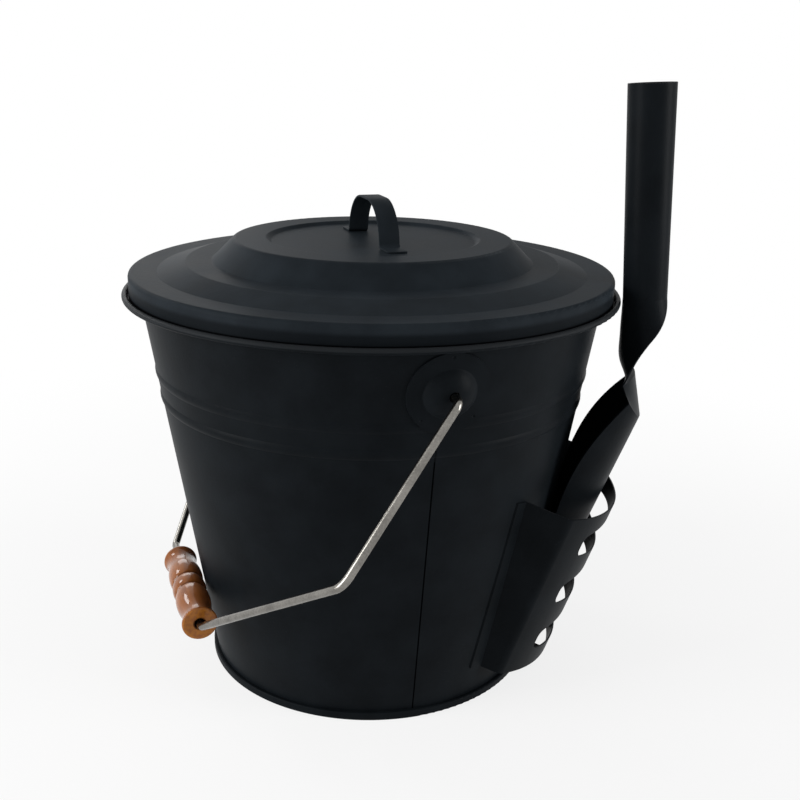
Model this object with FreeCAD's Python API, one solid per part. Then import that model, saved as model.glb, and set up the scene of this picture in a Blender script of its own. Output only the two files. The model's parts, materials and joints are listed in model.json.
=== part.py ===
import FreeCAD, Part
import os
from math import acos, asin, atan, cos, degrees, radians, sin, sqrt, tan

V = FreeCAD.Vector

# Driving dimensions, millimetres and degrees
# Bucket
sheet = 0.7
base_radius = 104.0
taper_angle = 9.27
rim_overhang = 10.44
rim_height = 248.5
rim_wire_radius = 1.0
rim_wire_play = 0.15
rim_curl_turn = 285.0
rim_bend_radius = 2.0
# Swaged beads round the wall: drop of each crest below the rim, how proud it is, half its height
swage_upper_drop = 49.0
swage_lower_drop = 65.0
swage_upper_proud = 0.7
swage_lower_proud = 0.9
swage_half_height = 3.0
# Side seam of the rolled wall
seam_azimuth = -2.1
seam_groove_width = 0.6
seam_groove_depth = 0.35
seam_foot_height = 6.0
# Base
hoop_overhang = 3.3
hoop_height = 5.0
hoop_corner_radius = 0.9
wall_foot_height = 1.5
base_disc_height = 4.0
base_foot_width = 5.5
# Ears
ear_drop = 29.5
ear_flange_radius = 24.0
ear_sheet = 1.0
ear_dome_radius = 14.7
ear_dome_height = 6.6
ear_dome_fillet = 1.1
ear_weld_circle = 21.2
ear_weld_radius = 1.3
ear_weld_depth = 0.45
ear_weld_count = 8
# Bail
bail_wire_radius = 2.5
ear_hole_play = 0.5
bail_ear_offset = 15.25
bail_ear_bend = 6.0
bail_shoulder_spread = 16.5
bail_shoulder_drop = 110.5
bail_shoulder_bend = 12.0
bail_grip_drop = 205.0
bail_grip_run = 116.0
bail_grip_bend = 6.0
bail_head_radius = 3.9
bail_head_thickness = 2.0
bail_head_gap = 1.2
# Grip
grip_length = 90.0
grip_end_gap = 2.5
grip_collar_radius = 11.0
grip_collar_width = 3.0
grip_collar_edge = 0.9
grip_cove_radius = 9.2
grip_bulb_radius = 10.9
grip_bulb_foot_radius = 9.9
grip_groove_radius = 9.1
grip_bead_radius = 10.8
grip_bead_foot_radius = 9.8
grip_bead_width = 13.0
grip_groove_width = 1.4
grip_cove_width = 15.0
grip_bore_play = 0.6
grip_mouth_chamfer = 0.8
grip_wall_gap = 0.4
# Lid
lid_sheet = 0.8
lid_rim_play = 0.6
lid_seat_gap = 0.05
lid_skirt_height = 14.65
lid_skirt_corner_radius = 2.2
lid_terrace_rise = 5.2
lid_crown_rise = 18.8
# Radii of the lid's four steps and its recess, as shares of the lid's own radius
lid_step_one_share = 0.886
lid_step_two_share = 0.7705
lid_step_three_share = 0.664
lid_crown_share = 0.5745
lid_recess_share = 0.4417
lid_recess_depth = 2.0
lid_recess_slope = 2.6
lid_soft_radius = 3.5
lid_crease_radius = 1.6
lid_recess_soft_radius = 1.6
# Lid strap handle
strap_width = 12.8
strap_sheet = 1.2
strap_foot_span = 99.0
strap_leg_span = 65.0
strap_top_span = 58.0
strap_height = 27.0
strap_foot_bend = 2.0
strap_top_bend = 25.0
strap_corner_radius = 2.5
# Shovel holder
holder_azimuth = 61.0
holder_sheet = 1.0
holder_lean = 19.0
holder_width = 134.0
holder_length = 115.0
holder_face_bow = 28.5
holder_mouth_height = 119.0
holder_mouth_gap = 38.6
holder_flange_width = 6.8
holder_fold_radius = 6.0
holder_tab_width = 60.0
holder_tab_notch = 30.0
holder_tab_wall_gap = 2.2
window_length = 97.6
window_height = 22.0
window_end_height = 14.0
window_end_radius = 6.0
window_first_drop = 21.5
window_pitch = 35.7
window_count = 3
# Shovel
shovel_sheet = 1.2
shovel_handle_rise = 126.2
shovel_tube_top_radius = 14.2
shovel_tube_foot_radius = 13.3
shovel_tube_foot_rise = 1.5
shovel_rim_gap = 1.0
shovel_handle_lean = 3.4
shovel_seam_gap = 5.0
shovel_neck_drop = 45.5
shovel_neck_width = 56.0
shovel_neck_offset = 11.5
shovel_neck_depth = 7.5
shovel_heel_drop = 71.9
shovel_heel_offset = 17.0
shovel_heel_width = 62.0
shovel_heel_edge_rise = 15.4
shovel_heel_edge_inset = 8.0
shovel_fold_backing = 2.2
shovel_pan_lean = 20.5
shovel_pan_width = 76.0
shovel_pan_depth = 25.0
shovel_pan_shoulder = 34.0
shovel_lip_width = 88.0
shovel_lip_depth = 8.0
shovel_seat_gap = 0.3
# Cuts run past what they cut by this much
overrun = 4.0
# Points along half of each rolled section of the shovel's sheet
section_half_points = 7

taper = radians(taper_angle)
wall_slope = tan(taper)


def wall_radius(height):
    """Outer radius of the plain wall at a height."""
    return base_radius + wall_slope * height


# Places that follow from the wall and its rim
hoop_radius = base_radius + hoop_overhang
rim_radius = wall_radius(rim_height) + rim_overhang
swage_upper_height = rim_height - swage_upper_drop
swage_lower_height = rim_height - swage_lower_drop
ear_height = rim_height - ear_drop
bail_ear_reach = wall_radius(ear_height) + bail_ear_offset
bail_shoulder_reach = bail_ear_reach + bail_shoulder_spread
shovel_top_height = rim_height + shovel_handle_rise
shovel_tube_foot_height = rim_height + shovel_tube_foot_rise
shovel_neck_height = rim_height - shovel_neck_drop
shovel_heel_height = rim_height - shovel_heel_drop


def face_from(edges):
    return Part.Face(Part.Wire(Part.sortEdges(edges)[0]))


def line(a, b):
    return Part.LineSegment(a, b).toShape()


def arc(a, middle, b):
    return Part.Arc(a, middle, b).toShape()


def revolved(edges):
    return face_from(edges).revolve(V(0, 0, 0), V(0, 0, 1), 360)


def rounded_edges(points, radii):
    """Lines through the points, each inner corner rounded by its radius."""
    edges = []
    start = points[0]
    for i in range(1, len(points) - 1):
        corner = points[i]
        back = (points[i - 1] - corner).normalize()
        ahead = (points[i + 1] - corner).normalize()
        half = back.getAngle(ahead) / 2
        reach = radii[i - 1] / tan(half)
        tangent_in = corner + back * reach
        tangent_out = corner + ahead * reach
        bisector = (back + ahead).normalize()
        middle = corner + bisector * (radii[i - 1] / sin(half) - radii[i - 1])
        edges.append(line(start, tangent_in))
        edges.append(arc(tangent_in, middle, tangent_out))
        start = tangent_out
    edges.append(line(start, points[-1]))
    return edges


def parallel_points(points, distance, normal):
    """The same outline moved sideways by a distance, corner by corner."""
    sides = []
    for a, b in zip(points, points[1:]):
        along = (b - a).normalize()
        sides.append((a + along.cross(normal) * distance, along))
    moved = [sides[0][0]]
    for (p, d), (q, e) in zip(sides, sides[1:]):
        step = (q - p).cross(e).dot(normal) / d.cross(e).dot(normal)
        moved.append(p + d * step)
    last_along = sides[-1][1]
    moved.append(points[-1] + last_along.cross(normal) * distance)
    return moved


def turn_signs(points, normal):
    signs = []
    for a, b, c in zip(points, points[1:], points[2:]):
        signs.append(1 if (b - a).cross(c - b).dot(normal) > 0 else -1)
    return signs


def ribbon_face(points, radii, thickness, normal):
    """A strip of one thickness along an outline; the radii are those of the given side."""
    other = parallel_points(points, thickness, normal)
    grown = [r + thickness * s for r, s in zip(radii, turn_signs(points, normal))]
    edges = rounded_edges(points, radii) + rounded_edges(other, grown)
    edges.append(line(points[0], other[0]))
    edges.append(line(points[-1], other[-1]))
    return face_from(edges)


# Bucket wall: tapered sheet with two swages, a flat rim flange and a curl round the rim wire
curl_inner = rim_wire_radius + rim_wire_play
curl_outer = curl_inner + sheet
bead_radius = rim_radius - curl_outer
bead_height = rim_height - curl_outer
flange_under = bead_height - curl_outer
flange_top = bead_height - curl_inner
sheet_across = sheet / cos(taper)
swages = ((swage_lower_height, swage_lower_proud), (swage_upper_height, swage_upper_proud))


def wall_edges(inset, foot, top):
    """One face of the wall, from its foot to the start of the rim bend."""
    edges = []
    last = V(wall_radius(foot) - inset, 0, foot)
    for height, proud in swages:
        low = height - swage_half_height
        high = height + swage_half_height
        start = V(wall_radius(low) - inset, 0, low)
        crest = V(wall_radius(height) - inset + proud, 0, height)
        end = V(wall_radius(high) - inset, 0, high)
        edges.append(line(last, start))
        edges.append(arc(start, crest, end))
        last = end
    edges.append(line(last, top))
    return edges


def rim_bend(inset, level, radius):
    """Rounded corner where the wall turns out into the rim flange."""
    corner = V(wall_radius(level) - inset, 0, level)
    down = V(-sin(taper), 0, -cos(taper))
    out = V(1, 0, 0)
    half = down.getAngle(out) / 2
    reach = radius / tan(half)
    middle = corner + (down + out).normalize() * (radius / sin(half) - radius)
    return corner + down * reach, middle, corner + out * reach


def curl_point(radius, turn):
    angle = radians(turn - 90)
    return V(bead_radius + radius * cos(angle), 0, bead_height + radius * sin(angle))


def curl_arc(radius):
    return arc(curl_point(radius, 0), curl_point(radius, rim_curl_turn / 2), curl_point(radius, rim_curl_turn))


def make_bucket_wall():
    outer_in, outer_mid, outer_out = rim_bend(0, flange_under, rim_bend_radius)
    inner_in, inner_mid, inner_out = rim_bend(sheet_across, flange_top, rim_bend_radius + sheet)
    edges = wall_edges(0, wall_foot_height, outer_in)
    edges.append(arc(outer_in, outer_mid, outer_out))
    edges.append(line(outer_out, curl_point(curl_outer, 0)))
    edges.append(curl_arc(curl_outer))
    edges.append(line(curl_point(curl_outer, rim_curl_turn), curl_point(curl_inner, rim_curl_turn)))
    edges.append(curl_arc(curl_inner))
    edges.append(line(curl_point(curl_inner, 0), inner_out))
    edges.append(arc(inner_out, inner_mid, inner_in))
    edges += wall_edges(sheet_across, wall_foot_height, inner_in)
    edges.append(line(V(wall_radius(wall_foot_height) - sheet_across, 0, wall_foot_height),
                      V(wall_radius(wall_foot_height), 0, wall_foot_height)))
    return revolved(edges)


def make_seam_groove():
    """A narrow slot along the wall's side seam, over the swages, from the hoop to behind the ear."""
    top = ear_height - ear_dome_radius
    foot_in = V(wall_radius(seam_foot_height) - seam_groove_depth, 0, seam_foot_height)
    top_in = V(wall_radius(top) - seam_groove_depth, 0, top)
    foot_out = foot_in + V(overrun, 0, 0)
    top_out = top_in + V(overrun, 0, 0)
    edges = wall_edges(seam_groove_depth, seam_foot_height, top_in)
    edges += [line(top_in, top_out), line(top_out, foot_out), line(foot_out, foot_in)]
    turn = degrees(seam_groove_width / base_radius)
    slot = face_from(edges).revolve(V(0, 0, 0), V(0, 0, 1), turn)
    slot.rotate(V(0, 0, 0), V(0, 0, 1), seam_azimuth - 90 - turn / 2)
    return slot


def make_rim_wire():
    return Part.makeTorus(bead_radius, rim_wire_radius, V(0, 0, bead_height), V(0, 0, 1))


def make_bucket_bottom():
    """Recessed disc whose edge folds down, under the wall's foot and up as a hoop."""
    foot_inner = hoop_radius - base_foot_width
    disc_top = base_disc_height + sheet
    wall_in_foot = wall_radius(wall_foot_height) - sheet_across
    wall_in_disc = wall_radius(disc_top) - sheet_across
    outline = [
        V(foot_inner, 0, 0),
        V(hoop_radius, 0, 0),
        V(hoop_radius, 0, hoop_height),
        V(wall_radius(hoop_height), 0, hoop_height),
        V(wall_radius(wall_foot_height), 0, wall_foot_height),
        V(wall_in_foot, 0, wall_foot_height),
        V(wall_in_disc, 0, disc_top),
        V(0, 0, disc_top),
        V(0, 0, base_disc_height),
        V(foot_inner, 0, base_disc_height),
    ]
    edges = rounded_edges(outline[:4], [hoop_corner_radius, hoop_corner_radius])
    rest = outline[3:] + outline[:1]
    edges += [line(a, b) for a, b in zip(rest, rest[1:])]
    return revolved(edges)


# Ears: round domed plates spot-welded to the wall, one at -Y and one at +Y
def wall_solid(extra):
    """Everything inside the wall's outer face, grown outwards by a thickness."""
    grow = extra / cos(taper)
    top = rim_height
    return Part.makeCone(wall_radius(0) + grow, wall_radius(top) + grow, top)


def make_front_ear(wall):
    seat = V(0, -wall_radius(ear_height), ear_height)
    out = V(0, -cos(taper), -sin(taper))
    ball_radius = (ear_dome_radius ** 2 + ear_dome_height ** 2) / (2 * ear_dome_height)
    ball_centre = seat + out * (ear_sheet + ear_dome_height - ball_radius)
    reach = ear_dome_radius + ear_dome_height
    disc = Part.makeCylinder(ear_flange_radius, 2 * reach, seat - out * reach, out)
    plate = wall_solid(ear_sheet).common(disc)
    dome = Part.makeSphere(ball_radius, ball_centre)
    body = plate.fuse(dome).removeSplitter()
    rim = [e for e in body.Edges if on_dome_rim(e, seat, out)]
    body = body.makeFillet(ear_dome_fillet, rim)
    body = body.cut(wall_solid(0)).cut(wall)
    body = body.cut(Part.makeSphere(ball_radius - ear_sheet, ball_centre))
    hole_radius = bail_wire_radius + ear_hole_play
    hole = Part.makeCylinder(hole_radius, 2 * reach, seat, V(0, -1, 0))
    body = body.cut(hole)
    across = V(1, 0, 0)
    upward = out.cross(across)
    for i in range(ear_weld_count):
        angle = radians(360 * i / ear_weld_count)
        spot = seat + (across * cos(angle) + upward * sin(angle)) * ear_weld_circle
        spread = sqrt(spot.x ** 2 + spot.y ** 2)
        skin = wall_radius(spot.z) + ear_sheet / cos(taper)
        spot = V(spot.x * skin / spread, spot.y * skin / spread, spot.z)
        lift = ear_weld_radius - ear_weld_depth
        body = body.cut(Part.makeSphere(ear_weld_radius, spot + out * lift))
    return max(body.Solids, key=lambda solid: solid.Volume)


def on_dome_rim(edge, seat, out):
    """True for the edge where the dome meets its flange."""
    for t in (edge.FirstParameter, (edge.FirstParameter + edge.LastParameter) / 2):
        offset = edge.valueAt(t) - seat
        height = offset.dot(out)
        radius = (offset - out * height).Length
        if abs(radius - ear_dome_radius) > ear_sheet or abs(height) > 2 * ear_sheet:
            return False
    return True


# Bail: bent wire with headed ends inside the ear domes; it rests with its grip on the wall
def bail_rest_angle():
    """How far below the horizontal the bail hangs when the grip's bulb meets the wall."""
    reach = wall_radius(ear_height) * cos(taper) + grip_bulb_radius + grip_wall_gap
    return taper + acos(reach / bail_grip_drop)


bail_hang = bail_rest_angle()
bail_out = V(-cos(bail_hang), 0, -sin(bail_hang))
bail_pivot = V(0, 0, ear_height)


def bail_point(reach, drop):
    return bail_pivot + V(0, -1, 0) * reach + bail_out * drop


def make_bail_wire():
    head_in = wall_radius(ear_height) + bail_head_gap
    grip_end = bail_grip_run / 2 + bail_grip_bend * tan(bail_grip_turn() / 2) / 2
    half = [
        (head_in, 0),
        (bail_ear_reach, 0),
        (bail_shoulder_reach, bail_shoulder_drop),
        (grip_end, bail_grip_drop),
    ]
    route = [bail_point(u, v) for u, v in half] + [bail_point(-u, v) for u, v in reversed(half)]
    bends = [bail_ear_bend, bail_shoulder_bend, bail_grip_bend]
    path = Part.Wire(rounded_edges(route, bends + bends[::-1]))
    ring = Part.Wire(Part.makeCircle(bail_wire_radius, route[0], V(0, -1, 0)))
    wire = path.makePipeShell([ring], True, False)
    for side in (1, -1):
        head = Part.makeCylinder(bail_head_radius, bail_head_thickness,
                                 bail_point(side * head_in, 0), V(0, -side, 0))
        wire = wire.fuse(head)
    return wire.removeSplitter()


def bail_grip_turn():
    """Angle by which the wire turns where it leaves the grip."""
    return atan((bail_grip_drop - bail_shoulder_drop) / (bail_shoulder_reach - bail_grip_run / 2))


def make_bail_grip():
    """Turned wooden grip: collars, coves, two bulbs and a bead between grooves, bored through.
    It has slid along the wire to the front bend."""
    half = grip_length / 2
    bore = bail_wire_radius + grip_bore_play
    mouth = bore + grip_mouth_chamfer
    cove_end = grip_collar_width + grip_cove_width
    bead_start = half - grip_bead_width / 2
    groove_start = bead_start - grip_groove_width
    stations = [
        (0, mouth),
        (0, grip_collar_radius - grip_collar_edge),
        (grip_collar_edge, grip_collar_radius),
        (grip_collar_width, grip_collar_radius),
        ((grip_collar_width + cove_end) / 2, grip_cove_radius),
        (cove_end, grip_bulb_foot_radius),
        ((cove_end + groove_start) / 2, grip_bulb_radius),
        (groove_start, grip_bead_foot_radius),
        ((groove_start + bead_start) / 2, grip_groove_radius),
        (bead_start, grip_bead_foot_radius),
    ]
    left = [V(r, 0, x - half) for x, r in stations]
    right = [V(r, 0, half - x) for x, r in stations]
    edges = []
    for side in (left, right):
        edges.append(line(side[0], side[1]))
        edges.append(line(side[1], side[2]))
        edges.append(line(side[2], side[3]))
        edges.append(arc(side[3], side[4], side[5]))
        edges.append(arc(side[5], side[6], side[7]))
        edges.append(arc(side[7], side[8], side[9]))
        edges.append(line(side[0], V(bore, 0, side[0].z * (1 - grip_mouth_chamfer / half))))
    edges.append(arc(left[-1], V(grip_bead_radius, 0, 0), right[-1]))
    chamfered = half - grip_mouth_chamfer
    edges.append(line(V(bore, 0, -chamfered), V(bore, 0, chamfered)))
    grip = revolved(edges)
    grip.rotate(V(0, 0, 0), V(1, 0, 0), 90)
    slide = bail_grip_run / 2 - half - grip_end_gap
    grip.translate(bail_point(slide, bail_grip_drop))
    return grip


# Lid: stepped pressing whose skirt stands on the rim flange, inside the curl
lid_radius = bead_radius - curl_outer - lid_rim_play
lid_foot = flange_top + lid_seat_gap
lid_skirt_top = lid_foot + lid_skirt_height
lid_terrace_height = lid_skirt_top + lid_terrace_rise
lid_crown_height = lid_skirt_top + lid_crown_rise
lid_floor = lid_crown_height - lid_recess_depth


def make_lid_shell():
    outline = [
        V(lid_radius, 0, lid_foot),
        V(lid_radius, 0, lid_skirt_top),
        V(lid_radius * lid_step_one_share, 0, lid_skirt_top),
        V(lid_radius * lid_step_two_share, 0, lid_terrace_height),
        V(lid_radius * lid_step_three_share, 0, lid_terrace_height),
        V(lid_radius * lid_crown_share, 0, lid_crown_height),
        V(lid_radius * lid_recess_share, 0, lid_crown_height),
        V(lid_radius * lid_recess_share - lid_recess_slope, 0, lid_floor),
        V(0, 0, lid_floor),
    ]
    steps = [lid_crease_radius, lid_soft_radius]
    radii = [lid_skirt_corner_radius] + steps + steps + [lid_recess_soft_radius, lid_recess_soft_radius]
    face = ribbon_face(outline, radii, -lid_sheet, V(0, -1, 0))
    return face.revolve(V(0, 0, 0), V(0, 0, 1), 360)


def make_lid_handle():
    """Bent strap: two welded feet and an arch, running the same way as the ears."""
    outline = [
        V(0, -strap_foot_span / 2, lid_floor),
        V(0, -strap_leg_span / 2, lid_floor),
        V(0, -strap_top_span / 2, lid_floor + strap_height - strap_sheet),
        V(0, strap_top_span / 2, lid_floor + strap_height - strap_sheet),
        V(0, strap_leg_span / 2, lid_floor),
        V(0, strap_foot_span / 2, lid_floor),
    ]
    radii = [strap_foot_bend + strap_sheet, strap_top_bend, strap_top_bend, strap_foot_bend + strap_sheet]
    face = ribbon_face(outline, radii, -strap_sheet, V(1, 0, 0))
    face.translate(V(-strap_width / 2, 0, 0))
    strap = face.extrude(V(strap_width, 0, 0))
    corners = [e for e in strap.Edges if is_foot_corner(e)]
    return strap.makeFillet(strap_corner_radius, corners)


def is_foot_corner(edge):
    """True for the four short upright edges at the ends of the strap's feet."""
    ends = [v.Point for v in edge.Vertexes]
    at_end = all(abs(abs(p.y) - strap_foot_span / 2) < strap_sheet / 2 for p in ends)
    return at_end and abs(ends[0].z - ends[-1].z) > strap_sheet / 2


# Shovel holder: one folded sheet on the wall, in a frame whose +X is its own direction outwards
lean = radians(holder_lean)
mouth_reach = wall_radius(holder_mouth_height) + holder_mouth_gap
face_out = mouth_reach * cos(lean) - holder_mouth_height * sin(lean)
mouth_level = mouth_reach * sin(lean) + holder_mouth_height * cos(lean)
foot_level = mouth_level - holder_length


def leaned(shape):
    """From the holder's leaning frame to the upright one."""
    shape.rotate(V(0, 0, 0), V(0, 1, 0), holder_lean)
    return shape


def to_holder_side(shape):
    shape.rotate(V(0, 0, 0), V(0, 0, 1), holder_azimuth - 90)
    return shape


def holder_section():
    """Bowed face and two flat sides, running in past the wall."""
    half = holder_width / 2
    fold = face_out - holder_face_bow
    bow_radius = (half ** 2 + holder_face_bow ** 2) / (2 * holder_face_bow)
    inner_half = half - holder_sheet
    bow_centre = face_out - bow_radius
    inner_radius = bow_radius - holder_sheet
    inner_fold = bow_centre + sqrt(inner_radius ** 2 - inner_half ** 2)
    wall_in = bow_centre - bow_radius
    outline = [
        line(V(wall_in, -half, 0), V(fold, -half, 0)),
        arc(V(fold, -half, 0), V(face_out, 0, 0), V(fold, half, 0)),
        line(V(fold, half, 0), V(wall_in, half, 0)),
        line(V(wall_in, half, 0), V(wall_in, inner_half, 0)),
        line(V(wall_in, inner_half, 0), V(inner_fold, inner_half, 0)),
        arc(V(inner_fold, inner_half, 0), V(face_out - holder_sheet, 0, 0), V(inner_fold, -inner_half, 0)),
        line(V(inner_fold, -inner_half, 0), V(wall_in, -inner_half, 0)),
        line(V(wall_in, -inner_half, 0), V(wall_in, -half, 0)),
    ]
    return face_from(outline)


def holder_window(level):
    """Barrel-shaped opening across the bowed face, taller at its middle, its corners rounded."""
    half = window_length / 2
    rise = window_height / 2
    end = window_end_height / 2
    edges = [
        arc(V(0, -half, level + end), V(0, 0, level + rise), V(0, half, level + end)),
        line(V(0, half, level + end), V(0, half, level - end)),
        arc(V(0, half, level - end), V(0, 0, level - rise), V(0, -half, level - end)),
        line(V(0, -half, level - end), V(0, -half, level + end)),
    ]
    barrel = face_from(edges).extrude(V(face_out + overrun, 0, 0))
    corners = [e for e in barrel.Edges if is_window_corner(e)]
    return barrel.makeFillet(window_end_radius, corners)


def is_window_corner(edge):
    """True for the four edges along the cut at its two ends."""
    ends = [v.Point for v in edge.Vertexes]
    return abs(ends[0].x - ends[-1].x) > face_out / 2


def make_shovel_holder():
    section = holder_section()
    section.translate(V(0, 0, foot_level))
    sleeve = section.extrude(V(0, 0, holder_length))
    folds = [e for e in sleeve.Edges if is_fold(e, holder_width / 2)]
    sleeve = sleeve.makeFillet(holder_fold_radius + holder_sheet, folds)
    inner_folds = [e for e in sleeve.Edges if is_fold(e, holder_width / 2 - holder_sheet)]
    sleeve = sleeve.makeFillet(holder_fold_radius, inner_folds)
    for i in range(window_count):
        sleeve = sleeve.cut(holder_window(mouth_level - window_first_drop - i * window_pitch))
    sleeve = sleeve.fuse(holder_tab())
    sleeve = leaned(sleeve).cut(wall_solid(0))
    sleeve = sleeve.fuse(holder_flange(1)).fuse(holder_flange(-1)).removeSplitter()
    return to_holder_side(sleeve.Solids[0])


def is_fold(edge, half):
    """True for the long edge where a flat side meets the bowed face."""
    ends = [v.Point for v in edge.Vertexes]
    upright = abs(ends[0].z - ends[-1].z) > holder_length / 2
    outer = all(p.x > face_out - holder_face_bow - holder_fold_radius for p in ends)
    return upright and outer and all(abs(abs(p.y) - half) < holder_sheet / 2 for p in ends)


def tab_inner_reach():
    """Leaning-frame reach of the tab's free edge, short of the wall by its gap."""
    across = cos(lean) + wall_slope * sin(lean)
    rise = wall_slope * cos(lean) - sin(lean)
    return (base_radius + foot_level * rise) / across + holder_tab_wall_gap


def holder_tab():
    """Two feet folded in from the lower edge of the bowed face, on which the shovel stands."""
    inner = tab_inner_reach()
    size = V(face_out - holder_sheet / 2 - inner, holder_tab_width, holder_sheet)
    bow_radius = ((holder_width / 2) ** 2 + holder_face_bow ** 2) / (2 * holder_face_bow)
    tab = Part.makeBox(size.x, size.y, size.z, V(inner, -holder_tab_width / 2, foot_level))
    centre = V(face_out - bow_radius, 0, foot_level)
    tab = tab.common(Part.makeCylinder(bow_radius - holder_sheet / 2, holder_sheet, centre))
    depth = holder_sheet + 2 * overrun
    start = V(inner - overrun, -holder_tab_notch / 2, foot_level - overrun)
    return tab.cut(Part.makeBox(size.x + 2 * overrun, holder_tab_notch, depth, start))


def holder_flange(side):
    """Strip that lies on the wall beside the sleeve and is welded to it."""
    half = holder_width / 2
    outer = half + holder_flange_width
    inner = half - holder_sheet
    skin = wall_solid(holder_sheet).cut(wall_solid(0))
    low = inner if side > 0 else -outer
    size_x = 2 * mouth_reach
    block = Part.makeBox(size_x, outer - inner, holder_length, V(-size_x / 4, low, foot_level))
    front = Part.makeBox(size_x, 2 * outer, size_x, V(0, -outer, 0))
    return skin.common(leaned(block)).common(front)


# Shovel: one stamped sheet, handle rolled outwards, neck flat, pan hollow towards the bucket
pan_lean = radians(shovel_pan_lean)
handle_lean = radians(shovel_handle_lean)


def sheet_section(reach, height, dip, radius, half_width, backing=0):
    """Closed outline of the rolled sheet at one station. dip is the tilt of its outward direction
    below the horizontal; a positive radius rolls the edges outwards, a negative one inwards. The
    backing is added on the inner side."""
    outward = V(cos(dip), 0, -sin(dip))
    across = V(0, 1, 0)
    centre = V(reach, 0, height) + outward * radius
    turn = half_width / radius
    rows = []
    for rolled in (radius + shovel_sheet / 2 + backing, radius - shovel_sheet / 2):
        row = []
        for i in range(-section_half_points, section_half_points + 1):
            angle = turn * i / section_half_points
            row.append(centre - outward * (rolled * cos(angle)) + across * (rolled * sin(angle)))
        rows.append(row)
    edges = []
    for row in rows:
        curve = Part.BSplineCurve()
        curve.interpolate(row)
        edges.append(curve.toShape())
    inner, outer = rows
    loop = [edges[0], line(inner[-1], outer[-1]), edges[1].reversed(), line(outer[0], inner[0])]
    return Part.Wire(loop)


def arc_radius(depth, half_chord):
    return (depth ** 2 + half_chord ** 2) / (2 * depth)


def trough(reach, height, dip, depth, half_chord, backing=0):
    """Section whose two edges stand in from its middle by a depth."""
    radius = arc_radius(depth, half_chord)
    return sheet_section(reach, height, dip, -radius, radius * asin(half_chord / radius), backing)


def handle_web(height):
    """Reach of the handle's inner side: it leans in upwards from just clear of the rim."""
    clear = rim_radius + shovel_rim_gap + shovel_sheet / 2
    return clear - (height - bead_height) * tan(handle_lean)


# Stations of the opening handle between the tube's foot and the neck: share of the way down,
# share of the tube's wrap still left, share of the way from the tube's girth to the neck's width
opening_shares = (
    (0.12, 0.88, 0.20),
    (0.25, 0.763, 0.42),
    (0.40, 0.57, 0.68),
    (0.63, 0.297, 0.87),
    (0.85, 0.13, 0.97),
)
# Stations of the pan between heel and lip: share of the way down, share of the full depth
pan_shoulder_depth_share = 0.9
pan_full_share = 0.34


def make_shovel():
    top_mid = shovel_tube_top_radius - shovel_sheet / 2
    foot_mid = shovel_tube_foot_radius - shovel_sheet / 2
    stations = []
    for height, radius in ((shovel_top_height, top_mid), (shovel_tube_foot_height, foot_mid)):
        girth = radius * radians(180) - shovel_seam_gap / 2
        stations.append(sheet_section(handle_web(height), height, -handle_lean, radius, girth))
    tube = Part.makeLoft(stations, True, True)
    foot_girth = foot_mid * radians(180) - shovel_seam_gap / 2
    foot_turn = foot_girth / foot_mid
    neck_half = shovel_neck_width / 2
    heel_reach = rim_radius + shovel_heel_offset
    heel_dip = atan(shovel_heel_edge_rise / shovel_heel_edge_inset)
    neck_reach = rim_radius + shovel_neck_offset
    neck_dip = -atan((heel_reach - neck_reach) / (shovel_neck_height - shovel_heel_height))
    drop = shovel_tube_foot_height - shovel_neck_height
    web = handle_web(shovel_tube_foot_height)
    opening = [stations[-1]]
    for down_share, wrap_share, flat_share in opening_shares:
        height = shovel_tube_foot_height - drop * down_share
        half_width = foot_girth + (neck_half - foot_girth) * flat_share
        settle = down_share ** 12
        reach = web + (neck_reach - web) * settle
        radius = half_width / (foot_turn * wrap_share)
        opening.append(sheet_section(reach, height, neck_dip * settle, radius, half_width))
    opening.append(trough(neck_reach, shovel_neck_height, neck_dip, shovel_neck_depth, neck_half))
    neck = Part.makeLoft(opening, True, False)
    heel_depth = sqrt(shovel_heel_edge_rise ** 2 + shovel_heel_edge_inset ** 2)
    heel_half = shovel_heel_width / 2
    heel = trough(heel_reach, shovel_heel_height, heel_dip, heel_depth, heel_half)
    fold = trough(heel_reach, shovel_heel_height, heel_dip, heel_depth, heel_half, shovel_fold_backing)
    plate = Part.makeLoft([opening[-1], fold], True, True)
    pan = Part.makeLoft([heel] + pan_stations(heel_reach), True, False)
    shovel = tube.fuse(neck).fuse(plate).fuse(pan)
    return to_holder_side(shovel.Solids[0])


def pan_stations(heel_reach):
    """Sections square to the pan's own line, from its shoulder to its lip on the holder's tab."""
    lip_level = foot_level + holder_sheet + shovel_seat_gap
    length = pan_length(heel_reach, lip_level)
    half = shovel_pan_width / 2
    lip_half = shovel_lip_width / 2
    full_run = length * pan_full_share
    rows = [(shovel_pan_shoulder / 2, shovel_pan_depth * pan_shoulder_depth_share, half)]
    rows.append((full_run, shovel_pan_depth, half))
    rows.append((length, shovel_lip_depth, lip_half))
    middle = (full_run + length) / 2
    rows.insert(2, (middle, (shovel_pan_depth + shovel_lip_depth) / 2, (half + lip_half) / 2))
    sections = []
    for run, depth, half_chord in rows:
        reach = heel_reach - run * sin(pan_lean)
        height = shovel_heel_height - run * cos(pan_lean)
        sections.append(trough(reach, height, pan_lean, depth, half_chord))
    return sections


def pan_length(heel_reach, lip_level):
    """Length along the pan at which the middle of its lip comes down to the tab."""
    heel_level = heel_reach * sin(lean) + shovel_heel_height * cos(lean)
    return (heel_level - lip_level) / cos(pan_lean - lean)


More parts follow.
